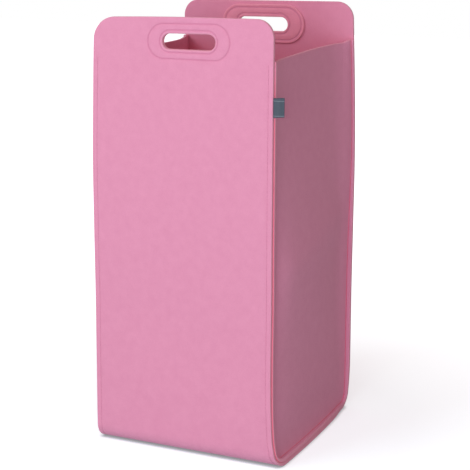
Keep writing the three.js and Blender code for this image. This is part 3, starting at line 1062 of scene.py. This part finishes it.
# The label
LABEL_LAYER = 0.5 * MM
LABEL_SWELL = 1.2 * MM  # half the hollow of its loop
LABEL_LIFT = 1.5 * MM  # its outer end, up
LABEL_RUN = 40 * MM  # more than its length past the wall's edge
LABEL_FORWARD = math.radians(84)  # how far it turns along the cut edge, and from where to where
LABEL_OUT = (0, 1.4 * MM)
LABEL_BACK = (5 * MM, 8 * MM)
LABEL_DROOP = math.radians(9)  # how far its end hangs back
LABEL_END = (6 * MM, 12 * MM)
LABEL_POINTS = 600
LABEL_STEPS = 48
LABEL_ROWS = 24
LABEL_NOSE = 12  # a higher power gives its fold a blunter nose
LABEL_FULL = 1.5  # a higher power puts its hollow nearer to the fold


def label_path(reach):
    """Middle line of the label: out of the seam, forward along the cut edge and outwards again."""
    s = np.linspace(-reach, LABEL_RUN, LABEL_POINTS)
    forward = smooth_step(s, *LABEL_OUT) - smooth_step(s, *LABEL_BACK)
    angle = LABEL_FORWARD * forward - LABEL_DROOP * smooth_step(s, *LABEL_END)
    step = s[1] - s[0]
    x = HALF_WIDTH - reach + np.cumsum(np.cos(angle)) * step
    y = FELT + LAYER_GAP / 2 - HALF_DEPTH - np.cumsum(np.sin(angle)) * step
    return s, x, y, angle


def label_section(inside_run, length):
    """The label's outline and its hollow: distances along its middle line, and off it."""
    sides = []
    for grow in (LABEL_LAYER, 0.0):
        side = []
        for i in range(LABEL_STEPS + 1):
            t = i / LABEL_STEPS
            nose = math.sqrt(max(0.0, 1 - t ** LABEL_NOSE))
            swell = LABEL_SWELL * math.sin(math.pi * t ** LABEL_FULL) ** 2
            side.append((t * length + t * grow, nose * (grow + swell)))
        sides.append(side)
    outer = [(-inside_run, LABEL_LAYER)] + sides[0]
    inner = sides[1]
    outline = [(a, -d) for a, d in outer] + [(a, d) for a, d in outer[-2::-1]]
    hollow = [(a, -d) for a, d in inner[1:]] + [(a, d) for a, d in inner[-2:0:-1]]
    return outline, hollow


def label_ends(outline, hollow):
    """Faces of the label's cut top and bottom, between its outline and its hollow."""
    size, hollow_size = len(outline), len(hollow)
    flat = [Vector(p) for p in outline + hollow]
    edges = ring_edges(0, size) + ring_edges(size, hollow_size)
    _, _, triangles, origin, _, _ = delaunay_2d_cdt(flat, edges, [], 0, MERGE)
    points = np.array([tuple(p) for p in flat])
    loops = [points[:size], points[size:]]
    hollow_first = size * (LABEL_ROWS + 1)
    faces = []
    for row, flip in ((0, True), (LABEL_ROWS, False)):
        for triangle in triangles:
            old = [origin[i][0] for i in triangle]
            if not inside(points[old].mean(0)[None], loops)[0]:
                continue
            face = []
            for i in old:
                on_hollow = hollow_first + row * hollow_size + i - size
                face.append(row * size + i if i < size else on_hollow)
            faces.append(tuple(face[::-1] if flip else face))
    return faces


def label_object(name, material):
    low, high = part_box("woven_label")
    inside_run = HALF_WIDTH - low.x
    s, path_x, path_y, path_angle = label_path(inside_run)
    length = np.interp(high.x - LABEL_LAYER, path_x, s)
    outline, hollow = label_section(inside_run, length)
    vertices, faces = [], []
    for loop, flip in ((outline, False), (hollow, True)):
        first, size = len(vertices), len(loop)
        along, off = np.array(loop).T
        angle = np.interp(along, s, path_angle)
        x = np.interp(along, s, path_x) + off * np.sin(angle)
        y = np.interp(along, s, path_y) + off * np.cos(angle)
        lift = LABEL_LIFT * smooth_step(along, 0, length)
        for row in range(LABEL_ROWS + 1):
            z = low.z + (high.z - low.z) * row / LABEL_ROWS + lift
            vertices += list(zip(x, y, z))
        for row in range(LABEL_ROWS):
            for a, b in ring_edges(first + row * size, size):
                face = (a, b, b + size, a + size)
                faces.append(face[::-1] if flip else face)
    faces += label_ends(outline, hollow)
    return mesh_object(name, settle(np.array(vertices)), faces, material)


RIB = 0.42 * MM
WEFT = 0.55 * MM
BORDER_INSET = 3.2 * MM
BORDER_HALF = 0.45 * MM
BORDER_STRENGTH = 0.5


def label_material(low, high):
    """Slate-blue woven ribbon: a fine weave and two plain border lines."""
    material, n, shader = new_material("woven_ribbon")
    place = n.add("ShaderNodeTexCoord", pick="Object")
    place = n.make("ShaderNodeSeparateXYZ", {0: place}).outputs
    warp = n.math("SINE", n.math("MULTIPLY", place["X"], 2 * math.pi / RIB))
    weft = n.math("SINE", n.math("MULTIPLY", place["Z"], 2 * math.pi / WEFT))
    weave = n.spread(n.math("MULTIPLY", warp, weft), -1, 1)
    from_middle = n.math("ABSOLUTE", n.math("SUBTRACT", place["Z"], (low.z + high.z) / 2))
    border = (high.z - low.z) / 2 - BORDER_INSET
    from_border = n.math("ABSOLUTE", n.math("SUBTRACT", from_middle, border))
    stripe = n.math("MULTIPLY", n.math("LESS_THAN", from_border, BORDER_HALF), BORDER_STRENGTH)
    base = n.mix(weave, linear((44, 56, 70)), linear((66, 78, 92)))
    n.fill(shader, {
        "Base Color": n.mix(stripe, base, linear((150, 160, 172))),
        "Roughness": n.spread(weave, 0, 1, 0.7, 0.55),
        "Normal": n.bump(weave, 0.6, 0.1 * MM),
    })
    return material


# Studio
FLOOR_HALF = 6.0
FLOOR_BOUNCE = (0.58, 0.72, 0.77, 1)
FLOOR_SEEN = (0.7, 0.88, 0.94, 1)
FLOOR_GLOW = (0.58, 1.0)  # near the hamper and far away
FLOOR_FAR = (0.3, 1.2)
# Reach, least brightness and power of the painted contact shadow on the floor
CONTACT_REACH = 7 * MM
CONTACT_LEAST = 0.36
CONTACT_POWER = 1.6
BLACK = (0, 0, 0, 1)
WHITE = (1, 1, 1, 1)
WORLD_COLOUR = (1.0, 0.7, 0.68, 1)
WORLD_STRENGTH = 0.41
LAMP_SIZE = 1.6
LAMP_TARGET = (0, 0, 0.3)
LAMPS = {  # place, watts and colour
    "key": ((-1.5, -2.5, 2.5), 32.5, (0.95, 0.99, 1.0)),
    "front": ((0.6, -3.2, 0.85), 49.7, (0.95, 1.0, 1.0)),
}

# The photograph's view, fitted to the hamper's edges
AZIMUTH = math.radians(25.7)
ELEVATION = math.radians(12.92)
DISTANCE = 2.502
CAMERA_TARGET = Vector((0.0139, 0, 0.3136))
LENS = 120.56
SENSOR = 36


def seen_directly(n):
    """1 for what is seen, also by reflection or through glass, and 0 for light on the object."""
    paths = n.make("ShaderNodeLightPath").outputs
    seen = n.math("MAXIMUM", paths["Is Camera Ray"], paths["Is Glossy Ray"])
    return n.math("MAXIMUM", seen, paths["Is Transmission Ray"])


def floor_object():
    """A white floor that keeps a faint shadow, with a painted contact shadow from ambient occlusion
    where the hamper touches it.
    """
    half = FLOOR_HALF
    corners = [(-half, -half, 0), (half, -half, 0), (half, half, 0), (-half, half, 0)]
    material, n, shader = new_material("pale_floor")
    seen = seen_directly(n)
    # Painted contact shadow: the floor's glow and seen colour darken with ambient occlusion near the
    # hamper
    clear = n.add("ShaderNodeAmbientOcclusion", {"Distance": CONTACT_REACH}, "AO", samples=8)
    clear = n.math("POWER", clear, CONTACT_POWER)
    clear = n.spread(clear, 0, 1, CONTACT_LEAST, 1.0)
    place = n.add("ShaderNodeTexCoord", pick="Object")
    away = n.add("ShaderNodeVectorMath", {0: place}, "Value", operation="LENGTH")
    glow = n.spread(away, *FLOOR_FAR, *FLOOR_GLOW)
    n.fill(shader, {
        "Base Color": n.mix(seen, FLOOR_BOUNCE, n.mix(clear, BLACK, FLOOR_SEEN)),
        "Roughness": 0.9,
        "Specular IOR Level": 0.0,
        "Emission Color": WHITE,
        "Emission Strength": n.math("MULTIPLY", n.math("MULTIPLY", seen, clear), glow),
    })
    return mesh_object("floor", corners, [(0, 1, 2, 3)], material)


def world():
    made = bpy.data.worlds.new("studio")
    bpy.context.scene.world = made
    made.use_nodes = True
    n = Nodes(made.node_tree)
    n.tree.nodes.clear()
    fill = n.add("ShaderNodeBackground", {"Color": WORLD_COLOUR, "Strength": WORLD_STRENGTH})
    white = n.add("ShaderNodeBackground", {"Color": WHITE})
    both = n.add("ShaderNodeMixShader", {0: seen_directly(n), 1: fill, 2: white})
    n.make("ShaderNodeOutputWorld", {"Surface": both})


def aim(obj, location, direction):
    obj.location = location
    obj.rotation_euler = direction.to_track_quat("-Z", "Y").to_euler()


def lamps():
    for name, (location, watts, colour) in LAMPS.items():
        light = bpy.data.lights.new(name, "AREA")
        light.shape = "SQUARE"
        light.size = LAMP_SIZE
        light.energy = watts
        light.color = colour
        aim(linked(name, light), location, Vector(LAMP_TARGET) - Vector(location))


def camera():
    back = Vector((
        math.sin(AZIMUTH) * math.cos(ELEVATION),
        -math.cos(AZIMUTH) * math.cos(ELEVATION),
        math.sin(ELEVATION),
    ))
    data = bpy.data.cameras.new("camera")
    data.sensor_width = SENSOR
    data.lens = LENS
    obj = linked("camera", data)
    aim(obj, CAMERA_TARGET + back * DISTANCE, -back)
    bpy.context.scene.camera = obj


# The pieces, each on its body and in place of its CAD node
def finished(obj, body, slot, *nodes):
    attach(obj, body)
    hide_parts(*nodes)


def folds_away(obj, slot, *nodes):
    """A soft piece of the middle, which lies flat against the back wall when the real hamper folds:
    here it goes on the back wall's body, with a mesh of its own.
    """
    finished(obj, "back", slot, *nodes)
    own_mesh(obj)


def sew_rings(sewing, wall, turn, handle):
    """The ring round a hand hole's rim, and the one round its patch."""
    def outside(p):
        return strip_place(p, RING_DENT) * [turn, turn, 1]

    def on_patch(p):
        y = np.full(len(p), handle.patch_face - RING_DENT)
        return np.stack([p[:, 0], y, p[:, 1]], 1) * [turn, turn, 1]

    for ring, measures in zip(("rim", "patch"), handle.rings):
        name, flat = f"{wall}_handle_{ring}", stadium(*measures, MM)
        sewing.pair(name, wall, flat, outside, on_patch, RING_LIFT, RING_PITCH)


def sew_wall_seam(sewing, wall, turn, side, sign):
    """One side's seam along a wall, up from the split line."""
    def outside(p):
        return strip_place(p, SEAM_DENT) * [turn, turn, 1]

    def on_edge(p):
        placed = strip_place(p, FLANGE_FACE - EDGE_DENT)
        bulge = panel_bulge(turn * placed[:, 1], placed[:, 2])
        placed[:, 0] = sign * bulged(abs(p[:, 0]), bulge)
        return placed * [turn, turn, 1]

    count = stitch_count(V_SPLIT, STITCH_TOP)
    half = (STITCH_TOP - V_SPLIT) / count / 2
    flat = seam_flat(sign * STITCH_X, V_SPLIT + half, STITCH_TOP - half)
    name = f"{side}_{wall}_seam"
    sewing.pair(name, wall, flat, outside, on_edge, SEAM_LIFT, SEAM_PITCH, count - 1)


def sew_base_seam(sewing, side, sign):
    """One side's seam along the base, on the back wall's body like the base."""
    count = stitch_count(-SPLIT_Y, SPLIT_Y)
    half = SPLIT_Y / count
    x, y = seam_flat(STITCH_X, half - SPLIT_Y, SPLIT_Y - half).T
    for kind, depth, up in (("needle", SEAM_DENT, -1), ("bobbin", FLANGE_FACE - EDGE_DENT, 1)):
        z = np.full(len(x), depth + up * SEAM_LIFT)
        out = x if kind == "needle" else bulged(x, panel_bulge(y, z))
        points = settle(np.stack([sign * out, y, z], 1))
        normals = np.tile((0, 0, up), (len(x), 1))
        name = f"{side}_base_seam_{kind}"
        row = sewing.row(name, points, normals, SEAM_PITCH, count - 1)
        folds_away(row, "thread", name + "_thread")


def build():
    group = felt_group()
    felt = felt_material("pink_felt", group, FELT_COLOURS)
    patch_felt = felt_material("pink_patch_felt", group, PATCH_COLOURS)
    sewing = Sewing()
    for wall, turn, left_corner in (("front", 1, BROAD_CORNER), ("back", -1, TIGHT_CORNER)):
        handle = Handle(wall, turn)
        sheet = wall_sheet(f"{wall}_wall_felt", handle, turn, left_corner, felt)
        finished(sheet, wall, "felt", f"{wall}_wall")
        patch = patch_sheet(f"{wall}_patch_felt", handle, turn, patch_felt)
        finished(patch, wall, "patch_felt", f"{wall}_handle_patch")
        sew_rings(sewing, wall, turn, handle)
        for sign in (-1, 1):
            side = "right" if sign * turn > 0 else "left"
            edge = panel_edge_sheet(f"{side}_{wall}_edge_felt", sign, turn, felt)
            finished(edge, wall, "felt", f"{side}_side_{wall}_edge")
            sew_wall_seam(sewing, wall, turn, side, sign)
    folds_away(base_sheet("base_felt", felt), "felt", "base_panel")
    for side, sign in (("left", -1), ("right", 1)):
        panel = panel_middle_sheet(f"{side}_side_felt", sign, felt)
        folds_away(panel, "felt", f"{side}_side_panel")
        sew_base_seam(sewing, side, sign)
    label = label_object("woven_ribbon_label", label_material(*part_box("woven_label")))
    finished(label, "front", "label", "woven_label")


build()
camera()
floor_object()
world()
lamps()
bpy.context.scene.view_settings.view_transform = "Standard"
